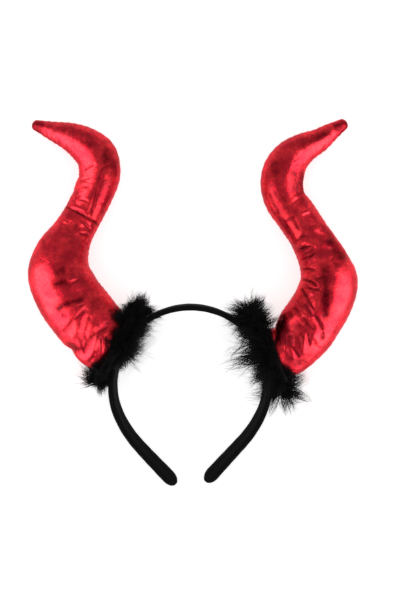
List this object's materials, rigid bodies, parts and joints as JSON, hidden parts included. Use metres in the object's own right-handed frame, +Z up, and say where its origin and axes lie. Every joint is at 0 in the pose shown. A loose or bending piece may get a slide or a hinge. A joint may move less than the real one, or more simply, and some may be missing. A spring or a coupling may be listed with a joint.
{
  "type": "horned headband",
  "caption": "Black cloth-covered head band with stuffed red metallic cloth horns and a black marabou feather trim at the foot of each horn.",
  "frame": {"origin": "centre of the object's box, on the surface that it lies on", "axes": "+X across the headband, to the right as its front is seen; +Y from the ends of the legs towards the crown and the horns' tips; +Z up from the surface, towards the front"},
  "size_m": [0.2706, 0.2992, 0.0512],
  "materials": {
    "band_cloth": "matte",
    "horn_lame": "gloss",
    "marabou_black": "matte"
  },
  "bodies": {
    "root": {"headband": "band_cloth", "horn_left": "horn_lame", "horn_right": "horn_lame", "feather_trim_left": "marabou_black", "feather_trim_right": "marabou_black"}
  },
  "joints": []
}
